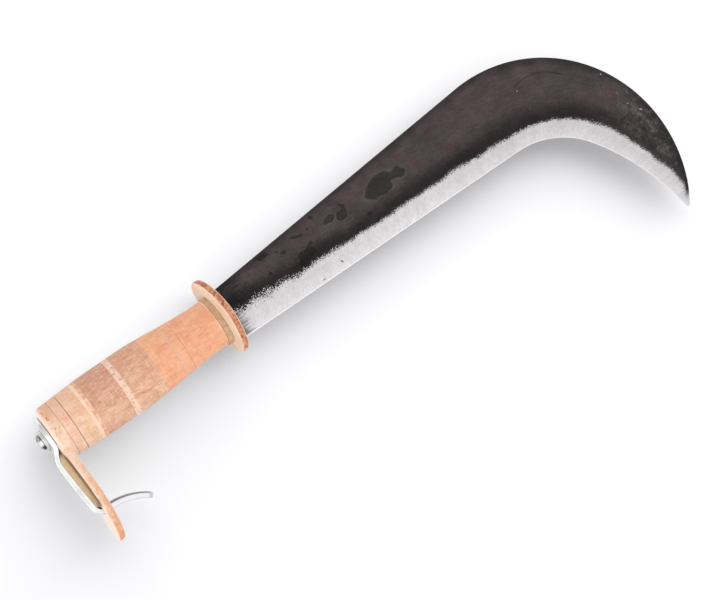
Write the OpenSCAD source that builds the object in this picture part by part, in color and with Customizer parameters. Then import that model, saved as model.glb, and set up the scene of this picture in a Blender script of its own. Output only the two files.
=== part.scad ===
// Billhook with a forged hooked blade and a grip of leather washers threaded on its tang.
// It lies on its side: +X runs along the tang to the blade, +Y to the spine, +Z out of the flat.
// The origin is on the tang axis, half way along the leather grip.

/* [Blade] */
// Reach of the blade, from the guard to the outside of the beak
blade_len = 288; // [270:1:300]
// Height of the spine above the tang axis at the guard
spine_heel = 15.1; // [13:0.1:17]
// Rise of the straight spine towards the beak, in degrees
spine_rise = 5.1; // [4:0.1:6]
// Radius of the back of the beak
beak_r = 89; // [85:1:93]
// Depth of the edge below the tang axis at the guard
edge_heel = 17.4; // [15:0.1:19]
// Fall of the straight edge towards the beak, in degrees
edge_fall = 0.7; // [0.2:0.1:1.5]
// Length of the straight edge
edge_len = 202; // [192:1:208]
// Radius of the bend where the edge turns into the beak
bend_r = 53; // [48:1:58]
// Turn of that bend, in degrees
bend_turn = 53.5; // [50:0.5:57]
// Radius of the edge from the bend down to the tip
throat_r = 151; // [140:1:165]
// Radius of the rounded tip
tip_r = 1.5; // [1:0.1:2.5]
// Thickness of the blade at the guard
heel_t = 5; // [4.6:0.1:6]
// Thickness of the blade at the beak
beak_t = 3; // [2.4:0.1:4]
// Thickness left along the cutting edge
edge_t = 0.3; // [0.2:0.1:0.6]
// Slope of each ground bevel, in degrees
bevel_slope = 9.5; // [8:0.5:13]

/* [Tang] */
// Height of the tang at the guard
tang_h = 17; // [14:0.5:20]
// Height of the tang at the butt leather
tang_end_h = 9; // [8:0.5:12]
// Thickness of the tang
tang_t = 4.4; // [4:0.1:4.5]
// Diameter of the riveting shank at its end
shank_d = 7; // [6.8:0.1:8]
// Diameter of the peened head
head_d = 9.6; // [9:0.1:11]
// Height of the peened head
head_h = 3; // [2:0.1:4]
// Play between the tang and each washer, all round
tang_play = 0.15; // [0.1:0.05:0.3]

/* [Guard] */
// Diameter of the leather guard disc
guard_d = 49; // [44:0.5:54]
// Offset of the disc's centre towards the spine
guard_lift = 1.3; // [0:0.1:2]
// Thickness of the guard disc
guard_t = 4.5; // [3.5:0.1:6]
// Rounding of the disc's rim
guard_round = 1.4; // [0.8:0.1:1.7]
// Diameter of the spacer between guard and grip
spacer_d = 31.6; // [31:0.1:34]
// Thickness of the spacer
spacer_t = 3.5; // [2.5:0.1:5]

/* [Grip] */
// Length of the leather grip, from the spacer to the back of the butt leather
grip_len = 114; // [105:1:125]
// Diameter at the front of the grip
front_d = 29.8; // [28:0.1:32]
// Diameter at the swell
swell_d = 37; // [34:0.1:39]
// Diameter at the butt
butt_d = 34.6; // [33:0.1:37]
// Thickness of the butt leather
butt_t = 8.4; // [7.5:0.1:10]
// Rounding of the butt leather's back rim
butt_round = 2.4; // [1:0.1:3]

/* [Butt tongue] */
// Drop of the tongue's end below the tang axis
tongue_drop = 71; // [66:1:76]
// Width of the tongue where it leaves the butt
tongue_w = 27; // [24:0.5:30]
// Radius of the tongue's round end
tongue_end_r = 10.5; // [9:0.5:12]
// Thickness of the tongue at the butt
tongue_t = 6.3; // [5.5:0.1:7]
// Thickness of the tongue at its end
tongue_end_t = 5; // [4:0.1:6]
// How far the tongue's end leans back
tongue_lean = 2.4; // [0:0.1:4]

/* [Belt hook] */
// Thickness of the hook strip
hook_t = 2.7; // [2:0.1:3]
// Diameter of the hook's round plate on the butt
plate_d = 26; // [22:0.5:30]
// Width of the hook's strap at its bend
strap_w = 12; // [10:0.5:13]
// Where the strap starts to bow back from the plate, below the tang axis
strap_from = 7.5; // [7.5:0.1:9]
// Bow of the strap behind the plate
strap_bow = 6; // [4:0.1:8]
// Gap between the strap's foot and the tongue
strap_off = 1; // [0.4:0.1:1.6]
// Width of the prong's round end
prong_end_w = 8; // [6:0.5:9]
// Drop of the prong's root below the tang axis
prong_drop = 51.4; // [50:0.1:53]
// Radius of the strap's bend into the prong
hook_bend_r = 4.6; // [4.2:0.1:5]
// Distance from the back of the tongue to where the prong starts to flare
flare_from = 4.4; // [3:0.1:6]
// Radius of the prong's outward flare
flare_r = 38; // [32:1:44]
// Turn of the prong's outward flare, in degrees
flare_turn = 40.5; // [34:0.5:44]
// Diameter of the burr under the peened head
burr_d = 13; // [11:0.5:15]
// Thickness of the burr
burr_t = 2; // [1.5:0.1:3]

/* [Hidden] */
$fn = 96;
past = 1;

// Leather colours as sanded edges show them
orange = [0.80, 0.42, 0.23];
grey = [0.62, 0.52, 0.47];
rose = [0.72, 0.43, 0.28];
brown = [0.68, 0.40, 0.27];
pale = [0.88, 0.62, 0.46];
tan = [0.82, 0.55, 0.38];
peach = [0.86, 0.58, 0.42];
olive = [0.60, 0.36, 0.22];
scale_black = [0.20, 0.18, 0.18];
bright = [0.78, 0.77, 0.75];

// Runs of washers from the guard to the butt: length, number of washers, colour
bands = [
    [24.2, 5, orange],
    [4.4, 1, orange],
    [2.3, 1, grey],
    [13.1, 3, orange],
    [19.3, 4, rose],
    [3.7, 1, pale],
    [18.9, 4, brown],
    [4.0, 1, pale],
    [9.7, 2, tan],
    [6.0, 1, peach]
];

function sum(list, n) = n == 0 ? 0 : list[n - 1] + sum(list, n - 1);
band_sum = sum([for (b = bands) b[0]], len(bands));
washers_len = grip_len - butt_t;
// One entry per washer: thickness and colour
washers = [for (b = bands) for (i = [1 : b[1]]) [b[0] / b[1] * washers_len / band_sum, b[2]]];
washer_count = len(washers);
washer_t = [for (w = washers) w[0]];
function washer_name(i) = str("grip_washer_", i < 9 ? "0" : "", i + 1);

// Stations along X, counted back from the shoulder where blade and tang meet
grip_x = -guard_t - spacer_t;
butt_x = grip_x - washers_len;
back_x = grip_x - grip_len;
burr_x = back_x - hook_t;
head_x = burr_x - burr_t;
shoulder_x = grip_len / 2 + spacer_t + guard_t;

function dir(a) = [cos(a), sin(a)];
function arc(c, r, from, to, n) = [for (i = [0 : n]) c + r * dir(from + (to - from) * i / n)];
// Crossing of two circles, on the left of the way from the first centre to the second
function meet(c1, r1, c2, r2) =
    let (
        span = norm(c2 - c1),
        along = (span * span + r1 * r1 - r2 * r2) / (2 * span),
        aside = sqrt(r1 * r1 - along * along),
        way = (c2 - c1) / span
    )
    c1 + along * way + aside * [-way.y, way.x];

// Edge side of the blade: a straight, a tight bend and a long throat
edge_end = [edge_len, -edge_heel - edge_len * tan(edge_fall)];
bend_from = 90 - edge_fall;
bend_to = bend_from - bend_turn;
bend_c = edge_end - bend_r * dir(bend_from);
throat_c = bend_c - (throat_r - bend_r) * dir(bend_to);
// Spine side: a straight that runs into the one round back of the beak
beak_from = 90 + spine_rise;
beak_x = blade_len - beak_r;
beak_c = [beak_x, spine_heel + beak_x * tan(spine_rise) - beak_r / cos(spine_rise)];
// The round tip touches both arcs
tip_c = meet(beak_c, beak_r - tip_r, throat_c, throat_r + tip_r);
throat_to = atan2(tip_c.y - throat_c.y, tip_c.x - throat_c.x);
beak_to = atan2(tip_c.y - beak_c.y, tip_c.x - beak_c.x);
blade_outline = concat(
    [[0, -edge_heel]],
    arc(bend_c, bend_r, bend_from, bend_to, 18),
    arc(throat_c, throat_r, bend_to, throat_to, 14),
    arc(tip_c, tip_r, throat_to + 180, beak_to + 360, 8),
    arc(beak_c, beak_r, beak_to, beak_from, 48),
    [[0, spine_heel]]
);
// The bevel is as wide as it takes to reach the flat at the guard
bevel_w = (heel_t - edge_t) / 2 / tan(bevel_slope) + past;
bevel_lap = 3;
bevel_sink = 0.004;

// Grip radius at a distance behind the spacer
function ease(t) = let (c = min(max(t, 0), 1)) c * c * (3 - 2 * c);
swell_from = 0.04 * grip_len;
swell_run = 0.48 * grip_len;
fall_from = 0.70 * grip_len;
function grip_r(u) =
    front_d / 2
    + (swell_d - front_d) / 2 * ease((u - swell_from) / swell_run)
    - (swell_d - butt_d) / 2 * ease((u - fall_from) / (grip_len - fall_from));

// Tongue seen from the side: straight beside the butt, leaning back below it
tongue_lean_from = 0.62 * tongue_drop;
tongue_lean_run = tongue_drop - tongue_lean_from;
function tongue_back(drop) = back_x - tongue_lean * pow(max(drop - tongue_lean_from, 0) / tongue_lean_run, 2);
function tongue_thick(drop) = tongue_t + (tongue_end_t - tongue_t) * ease((drop - butt_d / 2) / tongue_drop);
tongue_steps = 12;
tongue_drops = [for (i = [0 : tongue_steps]) tongue_drop * i / tongue_steps];

// Middle line of the hook strip: down the plate, behind the tongue, through it and out along X
plate_x = back_x - hook_t / 2;
bend_x = plate_x - strap_off;
strap_run = prong_drop - hook_bend_r;
strap_points = [
    [plate_x, -strap_from],
    [plate_x - strap_bow, -strap_run / 3],
    [plate_x - strap_off / 2, -2 * strap_run / 3],
    [bend_x, -strap_run]
];
function bezier(p, t) =
    pow(1 - t, 3) * p[0] + 3 * t * pow(1 - t, 2) * p[1] + 3 * t * t * (1 - t) * p[2] + pow(t, 3) * p[3];
flare_c = [back_x + flare_from, -prong_drop - flare_r];
hook_line = concat(
    [[plate_x, plate_d / 2]],
    [for (i = [0 : 15]) bezier(strap_points, i / 16)],
    arc([bend_x + hook_bend_r, -strap_run], hook_bend_r, 180, 270, 8),
    arc(flare_c, flare_r, 90, 90 - flare_turn, 10)
);
prong_end_x = flare_c.x + flare_r * sin(flare_turn);
function unit(v) = v / norm(v);
function heading(line, i) = unit(line[min(i + 1, len(line) - 1)] - line[max(i - 1, 0)]);
function beside(line, i, d) = line[i] + d * [-heading(line, i).y, heading(line, i).x];
// Outline of a strip of even thickness along a line
function strip(line, t) = concat(
    [for (i = [0 : len(line) - 1]) beside(line, i, t / 2)],
    [for (i = [len(line) - 1 : -1 : 0]) beside(line, i, -t / 2)]
);

// Puts a shape that stands along Z on the tang axis, rising towards the blade from x
module along_tang(x) {
    translate([x, 0, 0])
        rotate([90, 0, 90])
            children();
}

// Section of the metal ground away above one bevel: distance from the edge, height
module bevel_section(sink) {
    rise = tan(bevel_slope);
    polygon([
        [-past, edge_t / 2 - past * rise - sink],
        [bevel_w, edge_t / 2 + bevel_w * rise - sink],
        [bevel_w, heel_t],
        [-past, heel_t]
    ]);
}

// Metal ground away along one round stretch of the edge
module bevel_arc(c, r, from, to, sink) {
    translate(c)
        rotate([0, 0, from])
            rotate_extrude(angle = to - from)
                translate([r, 0])
                    bevel_section(sink);
}

// Metal ground away along the whole edge, above the blade
module bevel_above() {
    translate([0, -edge_heel, 0])
        rotate([0, 0, -edge_fall])
            along_tang(-past)
                linear_extrude(edge_len / cos(edge_fall) + past)
                    bevel_section(0);
    // The bend's cut laps both its neighbours and is a hair deeper, so the three cross cleanly
    bevel_arc(bend_c, bend_r, bend_to - bevel_lap, bend_from + bevel_lap, bevel_sink);
    bevel_arc(throat_c, throat_r, throat_to - bevel_lap, bend_to, 0);
}

// Blade blank, thinner towards the beak
module blank() {
    intersection() {
        linear_extrude(heel_t, center = true)
            polygon(blade_outline);
        rotate([90, 0, 0])
            linear_extrude(2 * blade_len, center = true)
                polygon([[0, -heel_t / 2], [blade_len, -beak_t / 2], [blade_len, beak_t / 2], [0, heel_t / 2]]);
    }
}

// Flat tang, or with play the slot that takes it, which runs on past the shoulder
module tang(play) {
    start = play > 0 ? past : 0;
    half = tang_h / 2 + play;
    end_half = tang_end_h / 2 + play;
    linear_extrude(tang_t + 2 * play, center = true)
        polygon([[start, -half], [start, half], [butt_x, end_half], [butt_x, -end_half]]);
}

// Round shank at the end of the tang, with a core that runs into the tang
module shank(play) {
    along_tang(head_x)
        cylinder(h = butt_x - head_x, d = shank_d + 2 * play);
    core = [shank_d, 0.7 * shank_d, 0.6 * tang_t];
    translate([butt_x, 0, 0])
        cube(core, center = true);
}

// Domed head, peened over the burr
module peened_head() {
    rim = head_h / 3;
    dome = [for (i = [0 : 8]) [head_d / 2 * cos(90 * i / 8), rim + (head_h - rim) * sin(90 * i / 8)]];
    along_tang(head_x)
        mirror([0, 0, 1])
            rotate_extrude()
                polygon(concat([[0, 0], [head_d / 2, 0]], dome));
}

// Blade, tang and peened head are one forging
module blade() {
    color(scale_black)
        translate([shoulder_x, 0, 0]) {
            difference() {
                blank();
                bevel_above();
                mirror([0, 0, 1])
                    bevel_above();
            }
            tang(0);
            shank(0);
            peened_head();
        }
}

// Disc with a rounded rim, standing along Z from 0 to t
module round_rim_disc(d, t, rounding) {
    rotate_extrude() {
        square([d / 2 - rounding, t]);
        translate([0, rounding])
            square([d / 2, t - 2 * rounding]);
        for (z = [rounding, t - rounding])
            translate([d / 2 - rounding, z])
                circle(rounding);
    }
}

module guard_disc() {
    color(pale)
        translate([shoulder_x, 0, 0])
            difference() {
                translate([0, guard_lift, 0])
                    along_tang(-guard_t)
                        round_rim_disc(guard_d, guard_t, guard_round);
                tang(tang_play);
            }
}

module guard_spacer() {
    color(olive)
        translate([shoulder_x, 0, 0])
            difference() {
                along_tang(grip_x)
                    cylinder(h = spacer_t, d = spacer_d);
                tang(tang_play);
            }
}

// Leather washer number i, counted back from the spacer
module grip_washer(i) {
    front_u = sum(washer_t, i);
    back_u = front_u + washer_t[i];
    color(washers[i][1])
        translate([shoulder_x, 0, 0])
            difference() {
                along_tang(grip_x - back_u)
                    cylinder(h = washer_t[i], r1 = grip_r(back_u), r2 = grip_r(front_u));
                tang(tang_play);
            }
}

// Round part of the butt leather, with its back rim rounded over
module butt_round_part() {
    back_r = grip_r(grip_len);
    back_rim = arc([back_r - butt_round, butt_round], butt_round, -90, 0, 8);
    along_tang(back_x)
        rotate_extrude()
            polygon(concat([[0, 0]], back_rim, [[grip_r(washers_len), butt_t], [0, butt_t]]));
}

// Tongue: its side view cut to its outline as seen along the tang
module tongue() {
    side_view = concat(
        [for (d = tongue_drops) [tongue_back(d), -d]],
        [for (i = [tongue_steps : -1 : 0]) let (d = tongue_drops[i]) [tongue_back(d) + tongue_thick(d), -d]]
    );
    end_y = tongue_end_r - tongue_drop;
    intersection() {
        linear_extrude(2 * tongue_w, center = true)
            polygon(side_view);
        along_tang(back_x - 2 * tongue_t)
            linear_extrude(4 * tongue_t) {
                polygon([
                    [0, -tongue_w / 2],
                    [0, tongue_w / 2],
                    [end_y, tongue_end_r],
                    [end_y, -tongue_end_r]
                ]);
                translate([end_y, 0])
                    circle(tongue_end_r);
            }
    }
}

// Slot through the tongue for the hook, with room for its bend
module hook_slot() {
    room = 0.4;
    slot_low = -prong_drop - hook_t / 2 - room;
    slot_h = hook_bend_r + hook_t / 2 + room;
    translate([back_x - tongue_t, slot_low, -strap_w / 2 - room])
        cube([3 * tongue_t, slot_h, strap_w + 2 * room]);
}

module butt_leather() {
    color(peach)
        translate([shoulder_x, 0, 0])
            difference() {
                union() {
                    butt_round_part();
                    tongue();
                }
                shank(tang_play);
                hook_slot();
            }
}

// Hook strip seen along the tang: the round plate, the strap that tapers from it, and the bend's width below
module hook_front() {
    reach = 2 * prong_drop;
    foot = [-strap_run, strap_w / 2];
    taper = asin(plate_d / 2 / norm(foot)) - atan2(foot.y, strap_run);
    side = plate_d / 2 * [-sin(taper), cos(taper)];
    circle(d = plate_d);
    polygon([side, foot, [foot.x, -foot.y], [side.x, -side.y]]);
    translate([-reach, -strap_w / 2])
        square([reach - strap_run, strap_w]);
}

// Hook strip seen square to the tang: the plate's width, then tapering to the prong's round end
module hook_plan() {
    prong_r = prong_end_w / 2;
    taper_from = back_x + tongue_t;
    round_x = prong_end_x - prong_r;
    translate([back_x - plate_d, -plate_d / 2])
        square([taper_from - back_x + plate_d, plate_d]);
    polygon([[taper_from, -strap_w / 2], [round_x, -prong_r], [round_x, prong_r], [taper_from, strap_w / 2]]);
    translate([round_x, 0])
        circle(prong_r);
}

module belt_hook() {
    color(bright)
        translate([shoulder_x, 0, 0])
            difference() {
                intersection() {
                    linear_extrude(2 * plate_d, center = true)
                        polygon(strip(hook_line, hook_t));
                    along_tang(back_x - plate_d)
                        linear_extrude(prong_end_x - back_x + 2 * plate_d)
                            hook_front();
                    rotate([90, 0, 0])
                        linear_extrude(4 * tongue_drop, center = true)
                            hook_plan();
                }
                shank(tang_play);
            }
}

module burr_washer() {
    color(bright)
        translate([shoulder_x, 0, 0])
            difference() {
                along_tang(head_x)
                    cylinder(h = burr_t, d = burr_d);
                shank(tang_play);
            }
}

blade();
guard_disc();
guard_spacer();
for (i = [0 : washer_count - 1])
    grip_washer(i);
butt_leather();
belt_hook();
burr_washer();
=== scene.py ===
from math import atan2, cos, degrees, pi, radians, sin, sqrt, tan
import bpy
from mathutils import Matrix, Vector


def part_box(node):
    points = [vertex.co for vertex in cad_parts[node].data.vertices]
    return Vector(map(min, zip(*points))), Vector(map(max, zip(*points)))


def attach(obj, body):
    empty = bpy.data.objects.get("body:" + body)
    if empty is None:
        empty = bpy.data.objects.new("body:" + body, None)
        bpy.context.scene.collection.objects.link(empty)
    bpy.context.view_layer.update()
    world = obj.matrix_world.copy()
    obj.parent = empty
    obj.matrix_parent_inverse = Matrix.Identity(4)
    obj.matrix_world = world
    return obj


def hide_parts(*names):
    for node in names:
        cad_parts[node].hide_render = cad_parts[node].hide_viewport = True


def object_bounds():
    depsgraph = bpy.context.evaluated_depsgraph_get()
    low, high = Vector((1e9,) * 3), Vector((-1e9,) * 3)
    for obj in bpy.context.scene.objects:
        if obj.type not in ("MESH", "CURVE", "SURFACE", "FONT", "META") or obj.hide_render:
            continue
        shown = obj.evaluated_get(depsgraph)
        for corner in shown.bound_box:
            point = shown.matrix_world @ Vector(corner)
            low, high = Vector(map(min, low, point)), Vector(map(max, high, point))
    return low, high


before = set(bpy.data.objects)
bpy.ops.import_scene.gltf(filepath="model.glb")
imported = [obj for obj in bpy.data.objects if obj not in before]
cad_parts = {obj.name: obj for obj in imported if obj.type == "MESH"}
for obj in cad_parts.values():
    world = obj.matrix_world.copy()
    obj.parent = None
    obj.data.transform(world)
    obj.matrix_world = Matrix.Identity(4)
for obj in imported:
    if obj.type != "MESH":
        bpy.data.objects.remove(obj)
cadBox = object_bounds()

from types import SimpleNamespace

import bmesh
import bpy
import numpy as np
from mathutils import Matrix, Vector, noise

mm = 0.001
sliver = 0.02  # mm of half width left where a strip ends in a point
print("frame: %d solids loaded" % len(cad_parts))


def ease(t):
    t = np.clip(t, 0.0, 1.0)
    return t * t * (3.0 - 2.0 * t)


def between(a, b, t):
    return a + (b - a) * t


def towards(angle):
    return np.array([cos(radians(angle)), sin(radians(angle))])


def arcPoints(centre, radius, fromAngle, toAngle, count):
    return [centre + radius * towards(a) for a in np.linspace(fromAngle, toAngle, count)]


def turns(around):
    return 2 * pi * np.arange(around) / around


def ringAt(x, radius, angle):
    # points round the tang axis, from the spine side towards the viewer
    return np.column_stack([np.full(len(angle), x), radius * np.cos(angle), radius * np.sin(angle)])


def bellWeights(reach, width):
    weight = np.exp(-0.5 * (np.arange(-reach, reach + 1) / width) ** 2)
    return weight / weight.sum()


def ripple(points, size, seed):
    # soft lumps of about one size, from -1 to 1, at points in mm
    return np.array([noise.noise(Vector(p) / size + Vector((seed, 3.1 * seed, 7.7))) for p in points])


def addToScene(name, data):
    made = bpy.data.objects.new(name, data)
    bpy.context.scene.collection.objects.link(made)
    return made


def skin(name, rings, loop=False):
    # quads between rings of points in mm; a loop joins the last ring to the first, else both ends are capped
    rings = np.asarray(rings, float)
    count, around = rings.shape[:2]
    index = np.arange(count * around).reshape(count, around)
    nextRing = np.roll(index, -1, 0) if loop else index[1:]
    thisRing = index if loop else index[:-1]
    quads = np.stack([thisRing, np.roll(thisRing, -1, 1), np.roll(nextRing, -1, 1), nextRing], -1)
    faces = quads.reshape(-1, 4).tolist()
    if not loop:
        faces += [index[0][::-1].tolist(), index[-1].tolist()]
    mesh = bpy.data.meshes.new(name)
    mesh.from_pydata((rings.reshape(-1, 3) * mm).tolist(), [], faces)
    return addToScene(name, mesh)


def finishMesh(piece, sharpAngle=38):
    work = bmesh.new()
    work.from_mesh(piece.data)
    bmesh.ops.recalc_face_normals(work, faces=work.faces)
    work.to_mesh(piece.data)
    work.free()
    piece.data.polygons.foreach_set("use_smooth", [True] * len(piece.data.polygons))
    piece.data.set_sharp_from_angle(angle=radians(sharpAngle))


def paintVerts(piece, name, values):
    layer = piece.data.attributes.new(name, "FLOAT", "POINT")
    layer.data.foreach_set("value", np.asarray(values, np.float32).ravel())


def fitPiece(piece, slotName, material, *replaced):
    piece.data.materials.append(material)
    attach(piece, "root")
    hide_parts(*replaced)
    piece.visible_diffuse = not slotName.startswith("leather")  # else it tints the floor pink


def boolean(piece, other, how, weld=0.002 * mm):
    # cut or join, then keep the result as plain mesh and drop the tool
    tool = piece.modifiers.new("tool", "BOOLEAN")
    tool.operation = how
    tool.solver = "EXACT"
    tool.object = other
    bpy.context.view_layer.update()
    shaped = piece.evaluated_get(bpy.context.evaluated_depsgraph_get())
    mesh = bpy.data.meshes.new_from_object(shaped)
    # slivers along the cut go, so that every edge keeps two faces
    work = bmesh.new()
    work.from_mesh(mesh)
    bmesh.ops.remove_doubles(work, verts=work.verts, dist=weld)
    bmesh.ops.dissolve_degenerate(work, edges=work.edges, dist=weld)
    work.to_mesh(mesh)
    work.free()
    piece.modifiers.clear()
    piece.data = mesh
    bpy.data.objects.remove(other)


# material building: plain calls that return the socket to plug in next
def tone(r, g, b, light=1.0):
    # screen colour to the linear colour that a socket takes
    linear = [light * ((c / 255 + 0.055) / 1.055) ** 2.4 for c in (r, g, b)]
    return (*linear, 1.0)


def newMaterial(name):
    m = bpy.data.materials.new(name)
    m.use_nodes = True
    return m


def plug(m, socket, source):
    if isinstance(source, bpy.types.NodeSocket):
        m.node_tree.links.new(source, socket)
    else:
        socket.default_value = source


def add(m, kind, settings=None, **inputs):
    made = m.node_tree.nodes.new("ShaderNode" + kind)
    for key, value in (settings or {}).items():
        setattr(made, key, value)
    for key, source in inputs.items():
        plug(m, made.inputs[key], source)
    return made


def place(m):
    return add(m, "TexCoord").outputs["Object"]


def axes(m, vector):
    return add(m, "SeparateXYZ", Vector=vector).outputs


def facing(m):
    return axes(m, add(m, "TexCoord").outputs["Normal"])


def vectorOf(m, x, y, z):
    return add(m, "CombineXYZ", X=x, Y=y, Z=z).outputs["Vector"]


def stretched(m, vector, x, y, z):
    return add(m, "Mapping", Vector=vector, Scale=(x, y, z)).outputs["Vector"]


def cloud(m, vector, scale, detail=3.0, rough=0.55, warp=0.0):
    made = add(m, "TexNoise", Vector=vector, Scale=scale, Detail=detail, Roughness=rough, Distortion=warp)
    return made.outputs["Fac"]


def step(m, value, low, high, outLow=0.0, outHigh=1.0):
    # smooth step of a value from low to high; low may be above high
    made = add(m, "MapRange", {"interpolation_type": "SMOOTHSTEP"}, Value=value)
    for key, source in zip(("From Min", "From Max", "To Min", "To Max"), (low, high, outLow, outHigh)):
        plug(m, made.inputs[key], source)
    return made.outputs["Result"]


def stepAt(m, coordinate, low, high, outLow=0.0, outHigh=1.0):
    # smooth step along a coordinate, between two places in mm
    return step(m, coordinate, low * mm, high * mm, outLow, outHigh)


def maths(m, how, a, b=0.0):
    made = add(m, "Math", {"operation": how})
    plug(m, made.inputs[0], a)
    plug(m, made.inputs[1], b)
    return made.outputs["Value"]


def plus(m, a, b):
    return maths(m, "ADD", a, b)


def minus(m, a, b):
    return maths(m, "SUBTRACT", a, b)


def larger(m, a, b):
    return maths(m, "MAXIMUM", a, b)


def times(m, product, *factors):
    for factor in factors:
        product = maths(m, "MULTIPLY", product, factor)
    return product


def shaken(m, value, fuzz, amount, middle=0.5):
    # the value, moved up and down by a noise
    return plus(m, value, times(m, minus(m, fuzz, middle), amount))


def mixColour(m, amount, a, b, how="MIX"):
    made = add(m, "Mix", {"data_type": "RGBA", "blend_type": how})
    for number, source in ((0, amount), (6, a), (7, b)):  # the sockets of a colour mix
        plug(m, made.inputs[number], source)
    return made.outputs[2]


def layered(m, look, colour, *coats):
    # colours of a look laid over one another, each with its amount
    for amount, name in coats:
        colour = mixColour(m, amount, colour, look[name])
    return colour


def shaded(m, colour, *factors):
    # colour times one or more greys
    grey = times(m, *factors)
    veil = add(m, "CombineColor", Red=grey, Green=grey, Blue=grey).outputs[0]
    return mixColour(m, 1.0, colour, veil, "MULTIPLY")


def painted(m, name):
    return add(m, "Attribute", {"attribute_name": name}).outputs["Fac"]


def bump(m, height, depth, strength):
    # depth in mm
    return add(m, "Bump", Height=height, Distance=depth * mm, Strength=strength).outputs["Normal"]


def shader(m, **inputs):
    surface = m.node_tree.nodes["Principled BSDF"]
    for key, source in inputs.items():
        plug(m, surface.inputs[key.replace("_", " ")], source)


# stations along the tang, in mm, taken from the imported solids
def frontOf(node):
    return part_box(node)[1].x / mm


def backOf(node):
    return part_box(node)[0].x / mm


shoulderX = frontOf("guard_disc")
guardBackX = backOf("guard_disc")
gripFrontX = backOf("guard_spacer")
buttFrontX = backOf("grip_washer_23")
burrFrontX = frontOf("burr_washer")
headFrontX = backOf("burr_washer")
headBackX = backOf("blade")
hookThick = 2.7
backX = burrFrontX + hookThick

# Blade: the outline is arcs and straights, the grind is a width that changes along the edge
blade = dict(
    length=288.0, spineHeel=15.1, spineRise=5.1, beakRadius=89.0,
    edgeHeel=17.4, edgeFall=0.7, edgeLength=202.0,
    bendRadius=53.0, bendTurn=53.5, throatRadius=151.0, tipRadius=1.5,
    heelThick=5.0, beakThick=3.0, edgeThick=0.16,
    honeWidth=0.3, honeThick=0.32, bevelSlope=0.19, spineRound=0.7, spineCrown=0.06,
    grindAt=(0, 50, 100, 170, 200, 228, 252, 270, 300, 325),
    grindWidth=(17.4, 14.8, 12.8, 12.6, 11.0, 11.4, 12.8, 11.6, 9.8, 8.6), grindShare=0.74,
    flatWave=0.07, flatHollow=0.6, bevelWave=0.03, flatBorder=3.0, bevelBorder=2.5,
    tangHeel=8.4, tangEnd=4.4, tangHalf=2.1, tangSquare=0.22, shankRadius=3.5,
    # peened head: foot and rim as shares of its radius, start of rim and dome as shares of its height
    headRadius=4.8, headSink=0.02, footShare=0.9, rimShare=0.99, rimUp=0.12, domeUp=0.25, domeSteps=11,
    dent=0.45, dentOut=0.12, dentIn=0.4,
    # scorched patches and painted dark reflections on the head: from and full at, in mm off the axis, and how
    # dark
    scorchReflectSpine=(0.6, 2.0, 0.75), scorchReflectEdge=(1.7, 2.6, 1.0),
)


def crossing(centreA, radiusA, centreB, radiusB):
    # where two circles cross, on the left of the way from the first to the second
    way = centreB - centreA
    span = np.linalg.norm(way)
    way = way / span
    along = (span * span + radiusA * radiusA - radiusB * radiusB) / (2 * span)
    aside = sqrt(radiusA * radiusA - along * along)
    return centreA + along * way + aside * np.array([-way[1], way[0]])


def angleOf(v):
    return degrees(atan2(v[1], v[0]))


def bladeArcs(b):
    # bend and throat of the edge, the round back of the beak, and the tip between them
    rise = radians(b["spineRise"])
    edgeEnd = np.array([b["edgeLength"], -b["edgeHeel"] - b["edgeLength"] * tan(radians(b["edgeFall"]))])
    bendFrom = 90 - b["edgeFall"]
    bendTo = bendFrom - b["bendTurn"]
    bendC = edgeEnd - b["bendRadius"] * towards(bendFrom)
    throatC = bendC - (b["throatRadius"] - b["bendRadius"]) * towards(bendTo)
    beakX = b["length"] - b["beakRadius"]
    beakC = np.array([beakX, b["spineHeel"] + beakX * tan(rise) - b["beakRadius"] / cos(rise)])
    tipC = crossing(beakC, b["beakRadius"] - b["tipRadius"], throatC, b["throatRadius"] + b["tipRadius"])
    return SimpleNamespace(
        edgeStart=np.array([0, -b["edgeHeel"]]), edgeEnd=edgeEnd,
        spineSlope=tan(rise), spineEndX=beakX - b["beakRadius"] * sin(rise),
        bendC=bendC, bendFrom=bendFrom, bendTo=bendTo,
        throatC=throatC, throatTo=angleOf(tipC - throatC),
        beakC=beakC, beakTo=angleOf(tipC - beakC), tipC=tipC,
    )


def acrossBlade(b, arcs, start, heading):
    # to the straight spine, or past its end to the round back of the beak
    slope = arcs.spineSlope
    reach = (b["spineHeel"] + start[0] * slope - start[1]) / (heading[1] - heading[0] * slope)
    hit = start + reach * heading
    if 0 < reach and hit[0] <= arcs.spineEndX:
        return hit
    off = start - arcs.beakC
    half = off @ heading
    return start + heading * (-half + sqrt(half * half - off @ off + b["beakRadius"] ** 2))


def tipPairs(b, arcs):
    # the round tip, from both sides almost to its middle
    tipSteps, tipGap = 7, 4
    last = towards(arcs.throatTo)
    lastSpine = acrossBlade(b, arcs, arcs.throatC + b["throatRadius"] * last, last)
    middle = (arcs.throatTo + 180 + arcs.beakTo + 360) / 2
    lower = arcPoints(arcs.tipC, b["tipRadius"], arcs.throatTo + 180, middle - tipGap, tipSteps)
    upper = arcPoints(arcs.beakC, b["beakRadius"], angleOf(lastSpine - arcs.beakC), arcs.beakTo, 3)[:2]
    upper += arcPoints(arcs.tipC, b["tipRadius"], arcs.beakTo + 360, middle + tipGap, tipSteps - 2)
    return zip(lower, upper)


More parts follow.
